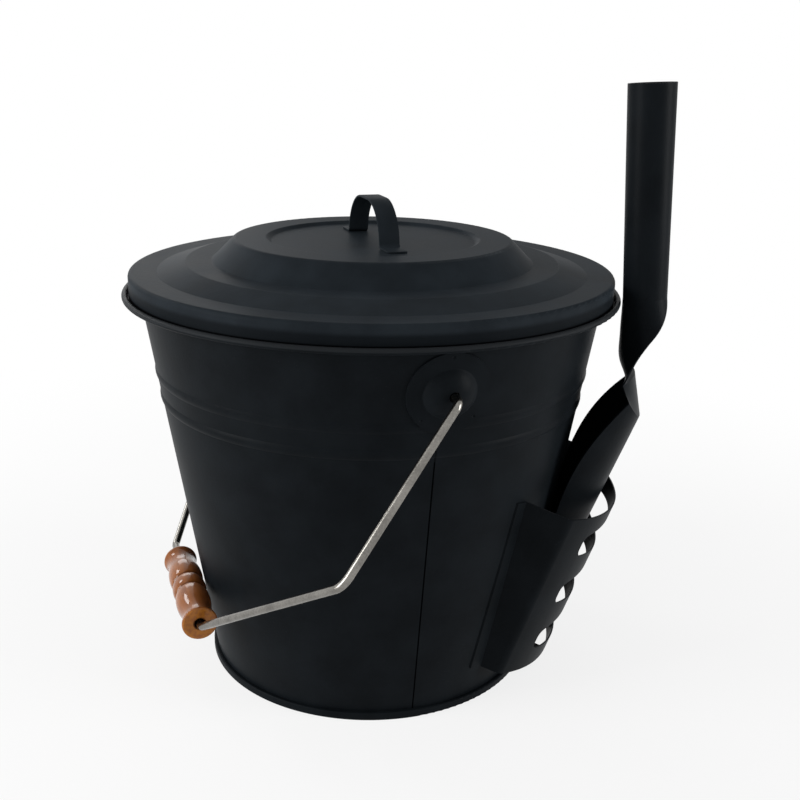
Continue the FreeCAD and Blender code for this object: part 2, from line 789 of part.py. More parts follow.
def main():
    os.makedirs("parts", exist_ok=True)
    rolled = make_bucket_wall()
    wall = rolled.cut(make_seam_groove())
    front_ear = make_front_ear(rolled)
    back_ear = front_ear.copy()
    back_ear.rotate(V(0, 0, 0), V(0, 0, 1), 180)
    nodes = {
        "bucket_wall": wall,
        "rim_wire": make_rim_wire(),
        "bucket_bottom": make_bucket_bottom(),
        "front_ear": front_ear,
        "back_ear": back_ear,
        "bail_wire": make_bail_wire(),
        "bail_grip": make_bail_grip(),
        "lid_shell": make_lid_shell(),
        "lid_handle": make_lid_handle(),
        "shovel_holder": make_shovel_holder(),
        "shovel": make_shovel(),
    }
    print("bail hangs", round(degrees(bail_hang), 3), "degrees below the horizontal")
    for name, shape in nodes.items():
        print(name, "solids", len(shape.Solids), "valid", shape.isValid(), "volume", round(shape.Volume, 1))
        shape.exportStep(os.path.join("parts", name + ".step"))


main()
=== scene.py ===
"""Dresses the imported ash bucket: coat, steel and varnish, its rod, grip and strap, and a plain stage."""
import json
from math import atan2, cos, pi, radians, sin, tan

import bpy
from mathutils import Matrix, Vector


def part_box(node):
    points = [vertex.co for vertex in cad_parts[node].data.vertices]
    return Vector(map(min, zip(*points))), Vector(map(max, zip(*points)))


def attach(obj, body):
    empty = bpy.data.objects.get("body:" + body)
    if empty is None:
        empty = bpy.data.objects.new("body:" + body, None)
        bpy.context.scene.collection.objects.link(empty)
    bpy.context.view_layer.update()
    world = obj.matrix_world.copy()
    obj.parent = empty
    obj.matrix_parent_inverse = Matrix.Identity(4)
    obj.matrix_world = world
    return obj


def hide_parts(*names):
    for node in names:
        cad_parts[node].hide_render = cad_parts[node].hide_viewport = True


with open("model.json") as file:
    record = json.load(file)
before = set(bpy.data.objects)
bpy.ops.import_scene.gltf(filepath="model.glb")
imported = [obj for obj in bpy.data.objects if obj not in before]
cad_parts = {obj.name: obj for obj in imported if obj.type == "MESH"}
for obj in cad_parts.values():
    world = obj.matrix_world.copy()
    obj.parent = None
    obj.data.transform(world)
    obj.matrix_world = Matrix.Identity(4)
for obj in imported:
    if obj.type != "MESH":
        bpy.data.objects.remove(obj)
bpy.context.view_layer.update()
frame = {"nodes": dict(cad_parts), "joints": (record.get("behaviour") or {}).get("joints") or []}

bl_info = {
    "name": "Ash bucket dresser",
    "version": (1, 0, 0),
    "blender": (4, 5, 0),
    "location": "3D View > Sidebar > Ash bucket",
    "description": "Coats and finishes the pieces of a lidded ash bucket with a shovel",
    "category": "Object",
}

MM = 0.001
UP = Vector((0, 0, 1))
WHITE = (1.0, 1.0, 1.0, 1.0)
START_SIZE = 1.0 * MM
MERGE_GAP = 0.01 * MM
SMOOTH_ANGLE = radians(40)
SENSOR_WIDTH = 36.0


# The frame's own places
def joint_place(name):
    for joint in frame["joints"]:
        if joint["name"] == name:
            return Vector(joint["pos_m"])
    raise RuntimeError("the frame has no joint named " + name)


PIVOT = joint_place("bail_swing")
GRIP_CENTRE = joint_place("grip_spin")
RUN_CENTRE = Vector((GRIP_CENTRE.x, PIVOT.y, GRIP_CENTRE.z))
BAIL_OUT = (RUN_CENTRE - PIVOT).normalized()
BAIL_DROP = (RUN_CENTRE - PIVOT).length
GRIP_LOW, GRIP_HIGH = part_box("bail_grip")
STRAP_LOW, STRAP_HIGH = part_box("lid_handle")


# Sizes and colours that a user would change
class CoatSettings(bpy.types.PropertyGroup):
    colour: bpy.props.FloatVectorProperty(
        name="Coat colour", description="Colour of the satin black coat", subtype="COLOR",
        size=4, min=0.0, max=1.0, default=(0.0048, 0.0061, 0.0074, 1.0))
    dust: bpy.props.FloatVectorProperty(
        name="Dust colour", description="Colour of the few specks of dust on the coat", subtype="COLOR",
        size=4, min=0.0, max=1.0, default=(0.030, 0.031, 0.033, 1.0))
    roughness: bpy.props.FloatProperty(
        name="Coat roughness", description="How matt the coat is", subtype="FACTOR",
        min=0.0, max=1.0, default=0.44)


class GripSettings(bpy.types.PropertyGroup):
    length: bpy.props.FloatProperty(
        name="Grip length", description="Length of the turned grip along its wire", unit="LENGTH",
        default=GRIP_HIGH.y - GRIP_LOW.y)
    colour: bpy.props.FloatVectorProperty(
        name="Wood colour", description="Main colour of the varnished wood", subtype="COLOR",
        size=4, min=0.0, max=1.0, default=(0.275, 0.090, 0.020, 1.0))
    grain: bpy.props.FloatVectorProperty(
        name="Grain colour", description="Colour of the darker grain", subtype="COLOR",
        size=4, min=0.0, max=1.0, default=(0.180, 0.054, 0.012, 1.0))
    end_colour: bpy.props.FloatVectorProperty(
        name="End colour", description="Colour of the two end faces, where the stain is thinner",
        subtype="COLOR", size=4, min=0.0, max=1.0, default=(0.390, 0.140, 0.018, 1.0))


class RodSettings(bpy.types.PropertyGroup):
    radius: bpy.props.FloatProperty(
        name="Rod radius", description="Radius of the bail's rod", unit="LENGTH", default=2.5 * MM)
    ear_reach: bpy.props.FloatProperty(
        name="Reach at the ears", description="Half the distance between the bail's two arms at the ears",
        unit="LENGTH", default=155.0 * MM)
    shoulder_reach: bpy.props.FloatProperty(
        name="Reach at the shoulders", description="Half the distance between the two shoulders",
        unit="LENGTH", default=171.5 * MM)
    shoulder_drop: bpy.props.FloatProperty(
        name="Drop of the shoulders", description="How far along the bail its shoulders are from the ears",
        unit="LENGTH", default=110.5 * MM)
    run: bpy.props.FloatProperty(
        name="Straight run", description="Length of the straight run that the grip sits on", unit="LENGTH",
        default=116.0 * MM)
    colour: bpy.props.FloatVectorProperty(
        name="Steel colour", description="Colour of the bare steel rod", subtype="COLOR",
        size=4, min=0.0, max=1.0, default=(0.255, 0.244, 0.224, 1.0))


class StrapSettings(bpy.types.PropertyGroup):
    thickness: bpy.props.FloatProperty(
        name="Strap thickness", description="Thickness of the lid's strap handle", unit="LENGTH",
        default=1.2 * MM)
    leg_span: bpy.props.FloatProperty(
        name="Leg span", description="Distance between the strap's legs at the lid", unit="LENGTH",
        default=65 * MM)
    top_span: bpy.props.FloatProperty(
        name="Top span", description="Distance between the strap's legs where they would meet the top",
        unit="LENGTH", default=58 * MM)


class StageSettings(bpy.types.PropertyGroup):
    floor_colour: bpy.props.FloatVectorProperty(
        name="Floor colour", description="Colour of the floor", subtype="COLOR",
        size=4, min=0.0, max=1.0, default=(0.9, 0.9, 0.9, 1.0))
    world_strength: bpy.props.FloatProperty(
        name="World light", description="Strength of the even light from all round", min=0.0, default=0.3)
    lens: bpy.props.FloatProperty(
        name="Lens", description="Focal length of the camera on a 36 mm sensor", subtype="DISTANCE_CAMERA",
        default=48.73)


class BucketSettings(bpy.types.PropertyGroup):
    coat: bpy.props.PointerProperty(type=CoatSettings, name="Coat", description="The black coat")
    grip: bpy.props.PointerProperty(type=GripSettings, name="Grip", description="The turned grip")
    rod: bpy.props.PointerProperty(type=RodSettings, name="Rod", description="The bail's rod")
    strap: bpy.props.PointerProperty(type=StrapSettings, name="Strap", description="The lid's strap")
    stage: bpy.props.PointerProperty(type=StageSettings, name="Stage", description="Floor, light and camera")


# Shader sums
class Tie:
    """A shader socket that can stand in sums: each operation adds one Math node."""

    def __init__(self, tree, socket):
        self.tree = tree
        self.socket = socket

    def math(self, operation, first, second=0.0):
        node = self.tree.nodes.new("ShaderNodeMath")
        node.operation = operation
        feed(self.tree, node.inputs[0], first)
        feed(self.tree, node.inputs[1], second)
        return Tie(self.tree, node.outputs[0])

    def __add__(self, other):
        return self.math("ADD", self, other)

    def __radd__(self, other):
        return self.math("ADD", other, self)

    def __sub__(self, other):
        return self.math("SUBTRACT", self, other)

    def __rsub__(self, other):
        return self.math("SUBTRACT", other, self)

    def __mul__(self, other):
        return self.math("MULTIPLY", self, other)

    def __rmul__(self, other):
        return self.math("MULTIPLY", other, self)

    def __abs__(self):
        return self.math("ABSOLUTE", self)

    def largest(self, other):
        return self.math("MAXIMUM", self, other)


def feed(tree, slot, value):
    """Links a socket into a slot, or sets the slot's own value."""
    if isinstance(value, Tie):
        tree.links.new(value.socket, slot)
    else:
        slot.default_value = value


class Shader:
    """A node tree that is written as expressions."""

    def __init__(self, tree):
        self.tree = tree
        tree.nodes.clear()

    def node(self, kind, settings=None, inputs=None, out=0):
        """One node: its settings are set first, then the values or links of its sockets."""
        node = self.tree.nodes.new(kind)
        for key, value in (settings or {}).items():
            setattr(node, key, value)
        for key, value in (inputs or {}).items():
            feed(self.tree, node.inputs[key], value)
        return Tie(self.tree, node.outputs[out])

    def place(self):
        return self.node("ShaderNodeTexCoord", out="Object")

    def noise(self, place, scale, detail):
        return self.node("ShaderNodeTexNoise", None, {"Vector": place, "Scale": scale, "Detail": detail})

    def ramp(self, value, low, high):
        """0 below low, 1 above high, smooth between."""
        settings = {"interpolation_type": "SMOOTHSTEP"}
        return self.node("ShaderNodeMapRange", settings, {"Value": value, "From Min": low, "From Max": high})

    def edge(self, value, level, soft):
        """0 below a level, 1 above it, smooth for a little to both sides."""
        return self.ramp(value, level - soft, level + soft)

    def blend(self, mask, below, above):
        """A colour that goes from one to another with a mask."""
        settings = {"data_type": "RGBA"}
        return self.node("ShaderNodeMix", settings, {0: mask, 6: below, 7: above}, 2)

    def times(self, first, second):
        """A vector times another, part by part."""
        return self.node("ShaderNodeVectorMath", {"operation": "MULTIPLY"}, {0: first, 1: second})

    def dot(self, first, second):
        return self.node("ShaderNodeVectorMath", {"operation": "DOT_PRODUCT"}, {0: first, 1: second}, 1)

    def length(self, vector):
        return self.node("ShaderNodeVectorMath", {"operation": "LENGTH"}, {0: vector}, 1)

    def bump(self, height):
        """A normal from a height in metres."""
        return self.node("ShaderNodeBump", None, {"Height": height, "Strength": 1.0, "Distance": 1.0})

    def mix(self, mask, below, above):
        return self.node("ShaderNodeMixShader", None, {0: mask, 1: below, 2: above})

    def surface(self, shader, kind="ShaderNodeOutputMaterial"):
        output = self.tree.nodes.new(kind)
        self.tree.links.new(shader.socket, output.inputs["Surface"])


def new_material(name):
    material = bpy.data.materials.new(name)
    material.use_nodes = True
    return material


def tinted(colour, share):
    """A colour made paler or darker."""
    return tuple(part * share for part in colour[:3]) + (1.0,)


# The black coat: each noise is a scale and a detail, each band is where a mask begins and is whole
COAT_PEEL = (620.0, 2.0)
COAT_SHEET = (11.0, 1.0)
COAT_GLOSS = (38.0, 4.0)
COAT_SPECK = (1500.0, 1.0)
COAT_FIELD = (24.0, 2.0)
COAT_TONE_BAND = (0.25, 0.75)
COAT_PALER = 1.5
COAT_GLOSS_ROUGHNESS = 0.10
COAT_PEEL_ROUGHNESS = 0.05
COAT_PEEL_DEPTH = 0.06 * MM
DUST_SPECK_BAND = (0.735, 0.79)
DUST_FIELD_BAND = (0.50, 0.66)
DUST_COVER = 0.8
# Painted light on the wall and the lid, by their height above the floor: a painted highlight on the rim's
# curl, painted shade on the lid's skirt, a painted shadow along the skirt's foot and the wall's seam
RIM_FOOT = 246.5 * MM
RIM_SOFT = 0.4 * MM
# colour of the painted highlight on the rim's curl
RIM_HIGHLIGHT_COLOUR = (0.0165, 0.0185, 0.0205, 1.0)
SKIRT_TURN = 254.5 * MM
SKIRT_SOFT = 1.6 * MM
SKIRT_EDGE = 248.7 * MM
# how far the lower skirt goes towards its painted shade
SKIRT_SHADE_SHARE = 0.8
SEAM_AZIMUTH = radians(-2.1)
SEAM_HALF = 0.42 * MM
SEAM_SOFT = 0.25 * MM
SEAM_TOP = 178 * MM
# colour of the painted shadow along the seam and along the foot of the lid's skirt
PAINTED_SHADOW_COLOUR = (0.0012, 0.0014, 0.0018, 1.0)
WALL_COAT = "wall coat"
LID_COAT = "lid coat"
# Coats: name, added roughness, depth of the sheet's ripple, paleness, index of refraction, nodes that wear it
COATS = (
    (WALL_COAT, 0.0, 0.35 * MM, 1.0, 1.095, ("bucket_wall",)),
    # the lid's paleness of 2.5 is painted light: the same black coat made paler, as where the lid catches
    # light from above
    (LID_COAT, 0.04, 0.20 * MM, 2.5, 1.065, ("lid_shell", "lid_handle")),
    ("holder coat", -0.02, 0.30 * MM, 0.9, 1.095, ("shovel_holder",)),
    ("shovel coat", -0.04, 0.15 * MM, 0.9, 1.095, ("shovel",)),
    ("pressed coat", 0.0, 0.35 * MM, 1.0, 1.095, ("bucket_bottom", "front_ear", "back_ear")),
)


def black_coat(name, rougher, ripple, paleness, ior):
    """Satin black coat baked onto sheet: fine peel, a slow ripple of the sheet, uneven gloss, a little dust,
    and painted light on the wall or the lid: a painted highlight on the rim's curl, a painted shadow along
    the seam, painted shade and a painted shadow line on the lid's skirt."""
    settings = bpy.context.scene.ash_bucket.coat
    material = new_material(name)
    shade = Shader(material.node_tree)
    place = shade.place()
    peel = shade.noise(place, *COAT_PEEL)
    sheet = shade.noise(place, *COAT_SHEET)
    gloss = shade.noise(place, *COAT_GLOSS)
    speck = shade.noise(place, *COAT_SPECK)
    field = shade.noise(place, *COAT_FIELD)
    dust = shade.ramp(speck, *DUST_SPECK_BAND) * shade.ramp(field, *DUST_FIELD_BAND)
    tone = shade.ramp(gloss, *COAT_TONE_BAND)
    darker = tinted(settings.colour, paleness)
    paler = tinted(settings.colour, paleness * COAT_PALER)
    base = shade.blend(tone, darker, paler)
    base = shade.blend(dust * DUST_COVER, base, tuple(settings.dust))
    # painted highlight on the rim's curl
    if name == WALL_COAT:
        base = paint_rim_highlight(shade, place, base)
    # painted shade on the lid's lower skirt, and a painted shadow line at its foot
    if name == LID_COAT:
        base = paint_skirt_shade(shade, place, base, tuple(settings.colour))
    roughness = settings.roughness + rougher + COAT_GLOSS_ROUGHNESS * (gloss - 0.5)
    roughness = roughness + COAT_PEEL_ROUGHNESS * (peel - 0.5)
    normal = shade.bump(peel * COAT_PEEL_DEPTH + sheet * ripple)
    coat = shade.node("ShaderNodeBsdfPrincipled", None, {
        "Base Color": base, "Roughness": roughness, "IOR": ior, "Normal": normal})
    # painted shadow: a dark matt sheet along the seam's lapped edge
    if name == WALL_COAT:
        seam_shadow = shade.node("ShaderNodeBsdfDiffuse", None, {"Color": PAINTED_SHADOW_COLOUR})
        coat = shade.mix(seam_mask(shade, place), coat, seam_shadow)
    shade.surface(coat)
    return material


def paint_rim_highlight(shade, place, base):
    """A painted highlight on top of the rim's curl: the coat made paler there, as where the curl catches the
    light from above.
    """
    return shade.blend(shade.edge(shade.dot(place, UP), RIM_FOOT, RIM_SOFT), base, RIM_HIGHLIGHT_COLOUR)


def paint_skirt_shade(shade, place, base, shaded_colour):
    """Painted shade on the lower part of the lid's skirt, darker than the lid, with a painted shadow line
    where it meets the rim.
    """
    height = shade.dot(place, UP)
    skirt = 1.0 - shade.edge(height, SKIRT_TURN, SKIRT_SOFT)
    base = shade.blend(skirt * SKIRT_SHADE_SHARE, base, shaded_colour)
    return shade.blend(1.0 - shade.edge(height, SKIRT_EDGE, RIM_SOFT), base, PAINTED_SHADOW_COLOUR)


def seam_mask(shade, place):
    """1 along the lapped edge of the wall's seam, from the lower swage to the foot, where the painted shadow
    goes.
    """
    aside = Vector((cos(SEAM_AZIMUTH), sin(SEAM_AZIMUTH), 0))
    ahead = Vector((sin(SEAM_AZIMUTH), -cos(SEAM_AZIMUTH), 0))
    near = 1.0 - shade.edge(abs(shade.dot(place, aside)), SEAM_HALF, SEAM_SOFT)
    front = shade.ramp(shade.dot(place, ahead), 0.0, SEAM_SOFT)
    low = 1.0 - shade.edge(shade.dot(place, UP), SEAM_TOP, SEAM_SOFT)
    return near * front * low


# The bare steel
STEEL_FINE = (900.0, 3.0)
STEEL_PATCH = (70.0, 3.0)
STEEL_TONE_BAND = (0.35, 0.68)
STEEL_PATCH_SHARE = 0.6
STEEL_DULL = 0.62
STEEL_ROUGHNESS = 0.20
STEEL_PATCH_ROUGHNESS = 0.16
STEEL_FINE_ROUGHNESS = 0.12
STEEL_FINE_DEPTH = 0.02 * MM


def bare_steel(name):
    """Drawn steel wire: fine dull and bright patches, faint drawing marks."""
    settings = bpy.context.scene.ash_bucket.rod
    material = new_material(name)
    shade = Shader(material.node_tree)
    place = shade.place()
    fine = shade.noise(place, *STEEL_FINE)
    patch = shade.noise(place, *STEEL_PATCH)
    tone = patch * STEEL_PATCH_SHARE + fine * (1.0 - STEEL_PATCH_SHARE)
    bright = shade.ramp(tone, *STEEL_TONE_BAND)
    base = shade.blend(bright, tinted(settings.colour, STEEL_DULL), tuple(settings.colour))
    roughness = STEEL_ROUGHNESS + STEEL_PATCH_ROUGHNESS * (patch - 0.5) + STEEL_FINE_ROUGHNESS * (fine - 0.5)
    normal = shade.bump(fine * STEEL_FINE_DEPTH)
    shade.surface(shade.node("ShaderNodeBsdfPrincipled", None, {
        "Base Color": base, "Metallic": 1.0, "Roughness": roughness, "Normal": normal}))
    return material


# The varnished wood
ACROSS = (1.0, 0.0, 1.0)
ALONG = (0.0, 1.0, 0.0)
WOOD_STRETCH = (1.0, 0.07, 1.0)
WOOD_BROAD = (210.0, 3.0)
WOOD_PORES = (1300.0, 2.0)
WOOD_FLECK = (60.0, 2.0)
WOOD_RING = (420.0, 2.0)
WOOD_BROAD_SHARE = 0.65
WOOD_GRAIN_BAND = (0.36, 0.64)
WOOD_PORE_BAND = (0.60, 0.74)
WOOD_PORE_COVER = 0.55
WOOD_RING_BAND = (0.35, 0.7)
WOOD_END_FAR = 0.9 * MM
WOOD_END_NEAR = 0.3 * MM
WOOD_GROOVE_BEGIN = (6.0 * MM, 6.7 * MM)
WOOD_GROOVE_END = (7.6 * MM, 8.4 * MM)
WOOD_GROOVE_COVER = 0.6
WOOD_GROOVE_DARK = 0.4
WOOD_BORE_BAND = (3.6 * MM, 4.6 * MM)
WOOD_BORE_COVER = 0.85
WOOD_BORE_COLOUR = (0.035, 0.009, 0.004, 1.0)
WOOD_ROUGHNESS = 0.42
WOOD_BROAD_ROUGHNESS = 0.12
WOOD_IOR = 1.12
WOOD_PORE_DEPTH = 0.05 * MM
WOOD_BROAD_DEPTH = 0.12 * MM
VARNISH_WEIGHT = 0.9
VARNISH_BORE_LOSS = 0.5
VARNISH_IOR = 1.3
VARNISH_ROUGHNESS = 0.07


def varnished_wood(name):
    """Stained, varnished hardwood with its grain along the grip, paler ends and stain held in the grooves."""
    settings = bpy.context.scene.ash_bucket.grip
    material = new_material(name)
    shade = Shader(material.node_tree)
    point = {"vector_type": "POINT"}
    centred = shade.node("ShaderNodeMapping", point, {"Vector": shade.place(), "Location": -GRIP_CENTRE})
    stretched = shade.node("ShaderNodeMapping", point, {"Vector": centred, "Scale": WOOD_STRETCH})
    broad = shade.noise(stretched, *WOOD_BROAD)
    pores = shade.noise(stretched, *WOOD_PORES)
    fleck = shade.noise(centred, *WOOD_FLECK)
    ring = shade.noise(centred, *WOOD_RING)
    off_axis = shade.length(shade.times(centred, ACROSS))
    from_middle = shade.length(shade.times(centred, ALONG))
    colour = tuple(settings.colour)
    dark = tuple(settings.grain)
    grain = shade.ramp(broad * WOOD_BROAD_SHARE + fleck * (1.0 - WOOD_BROAD_SHARE), *WOOD_GRAIN_BAND)
    base = shade.blend(grain, dark, colour)
    base = shade.blend(shade.ramp(pores, *WOOD_PORE_BAND) * WOOD_PORE_COVER, base, dark)
    half = settings.length / 2
    end = shade.ramp(from_middle, half - WOOD_END_FAR, half - WOOD_END_NEAR)
    end_tone = shade.blend(shade.ramp(ring, *WOOD_RING_BAND), tuple(settings.end_colour), colour)
    base = shade.blend(end, base, end_tone)
    groove = shade.ramp(from_middle, *WOOD_GROOVE_BEGIN) - shade.ramp(from_middle, *WOOD_GROOVE_END)
    base = shade.blend(groove * WOOD_GROOVE_COVER, base, tinted(dark, WOOD_GROOVE_DARK))
    bore = 1.0 - shade.ramp(off_axis, *WOOD_BORE_BAND)
    base = shade.blend(bore * WOOD_BORE_COVER, base, WOOD_BORE_COLOUR)
    roughness = WOOD_ROUGHNESS + WOOD_BROAD_ROUGHNESS * (broad - 0.5)
    varnish = VARNISH_WEIGHT - VARNISH_BORE_LOSS * bore
    normal = shade.bump(pores * WOOD_PORE_DEPTH + broad * WOOD_BROAD_DEPTH)
    shade.surface(shade.node("ShaderNodeBsdfPrincipled", None, {
        "Base Color": base, "Roughness": roughness, "IOR": WOOD_IOR, "Coat Weight": varnish,
        "Coat IOR": VARNISH_IOR, "Coat Roughness": VARNISH_ROUGHNESS, "Normal": normal}))
    return material


def paint_node(name, material):
    """A finish on every slot of a CAD node."""
    for slot in frame["nodes"][name].material_slots:
        slot.material = material


# Modelling by hand
def lone_point(name, place):
    """A new mesh of one point, in edit mode."""
    bpy.ops.object.select_all(action="DESELECT")
    bpy.ops.mesh.primitive_plane_add(size=START_SIZE, location=place)
    piece = bpy.context.object
    piece.name = name
    piece.data.name = name
    bpy.ops.object.mode_set(mode="EDIT")
    bpy.ops.mesh.select_all(action="SELECT")
    bpy.ops.mesh.merge(type="CENTER")
    return piece


def extrude_by(step):
    bpy.ops.mesh.extrude_region_move(TRANSFORM_OT_translate={"value": tuple(step)})


def draw_outline(points):
    """Extrudes the selected point, which is the first of the outline, through the others."""
    for start, end in zip(points, points[1:]):
        extrude_by(end - start)


def close_shell():
    bpy.ops.mesh.select_all(action="SELECT")
    bpy.ops.mesh.remove_doubles(threshold=MERGE_GAP)
    bpy.ops.mesh.normals_make_consistent(inside=False)


def apply_modifier(piece, kind, **settings):
    modifier = piece.modifiers.new(kind.title(), kind)
    for key, value in settings.items():
        setattr(modifier, key, value)
    bpy.ops.object.modifier_apply(modifier=modifier.name)


def finish_piece(piece, material, body, node, angle=SMOOTH_ANGLE):
    """Back to object mode with its place in its mesh, its finish on, riding on its body."""
    if piece.mode == "EDIT":
        bpy.ops.object.mode_set(mode="OBJECT")
    bpy.ops.object.transform_apply(location=True, rotation=True, scale=True)
    bpy.ops.object.shade_smooth_by_angle(angle=angle)
    piece.data.materials.clear()
    piece.data.materials.append(material)
    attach(piece, body)
    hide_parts(node)


# Half of the grip's outline: distance in from its end and radius, millimetres
GRIP_OUTLINE = (
    (1.4, 3.1), (0.5, 3.3), (0.05, 3.9), (0.0, 4.6), (0.0, 7.0), (0.0, 9.3), (0.12, 10.1), (0.5, 10.72),
    (1.2, 10.97), (2.0, 10.92), (2.75, 10.6), (4.0, 10.0), (6.2, 9.45), (9.0, 9.2), (12.0, 9.25),
    (15.0, 9.55), (18.0, 10.0), (21.0, 10.5), (24.5, 10.82), (27.8, 10.9), (31.0, 10.82), (34.0, 10.5),
    (36.0, 10.1), (36.8, 9.8), (37.3, 9.4), (37.6, 9.12), (38.0, 9.12), (38.35, 9.4), (38.9, 9.8),
    (40.2, 10.3), (42.2, 10.65),
)
GRIP_BEAD_RADIUS = 10.8
GRIP_BORE_RADIUS = 3.1
GRIP_SPIN_STEPS = 40
GRIP_SMOOTH_ANGLE = radians(60)


class ASHBUCKET_OT_turn_grip(bpy.types.Operator):
    """Turns the wooden grip: collars, coves, two bulbs, a bead between two grooves, and a bore for the rod"""
    bl_idname = "ashbucket.turn_grip"
    bl_label = "Turn the grip"
    bl_options = {"REGISTER", "UNDO"}

    def execute(self, context):
        half = context.scene.ash_bucket.grip.length / 2
        near = [Vector((r * MM, d * MM - half, 0)) for d, r in GRIP_OUTLINE]
        far = [Vector((p.x, -p.y, 0)) for p in reversed(near)]
        outline = near + [Vector((GRIP_BEAD_RADIUS * MM, 0, 0))] + far
        outline += [Vector((GRIP_BORE_RADIUS * MM, 0, 0)), near[0]]
        outline = [GRIP_CENTRE + p for p in outline]
        piece = lone_point("turned_grip", outline[0])
        draw_outline(outline)
        bpy.ops.mesh.select_all(action="SELECT")
        bpy.ops.mesh.spin(steps=GRIP_SPIN_STEPS, angle=2 * pi, center=GRIP_CENTRE, axis=(0, 1, 0))
        close_shell()
        bpy.ops.object.mode_set(mode="OBJECT")
        apply_modifier(piece, "SUBSURF", levels=1, render_levels=1)
        wood = varnished_wood("varnished wood")
        finish_piece(piece, wood, "grip", "bail_grip", GRIP_SMOOTH_ANGLE)
        return {"FINISHED"}


ROD_SIDES = 24
ROD_HEAD_RADIUS = 3.9 * MM
ROD_HEAD_LENGTH = 2.0 * MM
ROD_HEAD_REACH = 140.95 * MM
ROD_EAR_BEND = 6.0 * MM
ROD_SHOULDER_BEND = 12.0 * MM
ROD_GRIP_BEND = 6.0 * MM
ROD_BEND_STEPS = 9
ROD_END_TURN = (radians(90), 0, 0)


def bend_route(start, corners, radii, end):
    """The bends of a bent rod in turn: where each starts, its centre, axis and angle, and where it ends."""
    route = []
    points = [start] + corners + [end]
    for i, radius in enumerate(radii):
        before, corner, after = points[i], points[i + 1], points[i + 2]
        incoming = (corner - before).normalized()
        outgoing = (after - corner).normalized()
        turn = incoming.angle(outgoing)
        reach = radius * tan(turn / 2)
        tangent = corner - incoming * reach
        axis = incoming.cross(outgoing).normalized()
        centre = tangent + axis.cross(incoming) * radius
        route.append((tangent, centre, axis, turn, corner + outgoing * reach))
    return route


class ASHBUCKET_OT_bend_rod(bpy.types.Operator):
    """Bends the bail from one steel rod with upset heads: runs extruded, bends spun, one half mirrored"""
    bl_idname = "ashbucket.bend_rod"
    bl_label = "Bend the bail"
    bl_options = {"REGISTER", "UNDO"}

    def execute(self, context):
        rod = context.scene.ash_bucket.rod
        run_half = rod.run / 2

        def spot(reach, drop):
            return PIVOT + Vector((0, -reach, 0)) + BAIL_OUT * drop

        turn = atan2(BAIL_DROP - rod.shoulder_drop, rod.shoulder_reach - run_half)
        run_end = run_half + ROD_GRIP_BEND * tan(turn / 2) / 2
        shoulder = spot(rod.shoulder_reach, rod.shoulder_drop)
        corners = [spot(rod.ear_reach, 0), shoulder, spot(run_end, BAIL_DROP)]
        head = spot(ROD_HEAD_REACH, 0)
        middle = spot(0, BAIL_DROP)
        bpy.ops.object.select_all(action="DESELECT")
        bpy.ops.mesh.primitive_circle_add(vertices=ROD_SIDES, radius=ROD_HEAD_RADIUS, fill_type="NGON",
                                          location=head, rotation=ROD_END_TURN)
        piece = context.object
        piece.name = "bail_rod"
        piece.data.name = "bail_rod"
        bpy.ops.object.transform_apply(location=True, rotation=True, scale=True)
        bpy.ops.object.mode_set(mode="EDIT")
        bpy.ops.mesh.select_all(action="SELECT")
        extrude_by(Vector((0, -ROD_HEAD_LENGTH, 0)))
        bpy.ops.mesh.inset(thickness=ROD_HEAD_RADIUS - rod.radius, depth=0)
        at = head + Vector((0, -ROD_HEAD_LENGTH, 0))
        radii = [ROD_EAR_BEND, ROD_SHOULDER_BEND, ROD_GRIP_BEND]
        for tangent, centre, axis, angle, after in bend_route(head, corners, radii, middle):
            extrude_by(tangent - at)
            bpy.ops.mesh.spin(steps=ROD_BEND_STEPS, angle=-angle, center=centre, axis=axis)
            at = after
        extrude_by(middle - at)
        bpy.ops.mesh.delete(type="FACE")
        bpy.ops.object.mode_set(mode="OBJECT")
        halves = (False, True, False)
        apply_modifier(piece, "MIRROR", use_axis=halves, use_clip=True, merge_threshold=MERGE_GAP)
        bpy.ops.object.mode_set(mode="EDIT")
        close_shell()
        finish_piece(piece, bare_steel("bare steel"), "bail", "bail_wire")
        return {"FINISHED"}


STRAP_TOP_BEND = 25.0 * MM
STRAP_FOOT_BEND = 3.2 * MM
STRAP_CORNER = 2.5 * MM
STRAP_EDGE = 0.3 * MM
STRAP_BEND_STEPS = 12
STRAP_CORNER_STEPS = 6
STRAP_EDGE_STEPS = 2
STRAP_EDGE_ANGLE = radians(50)


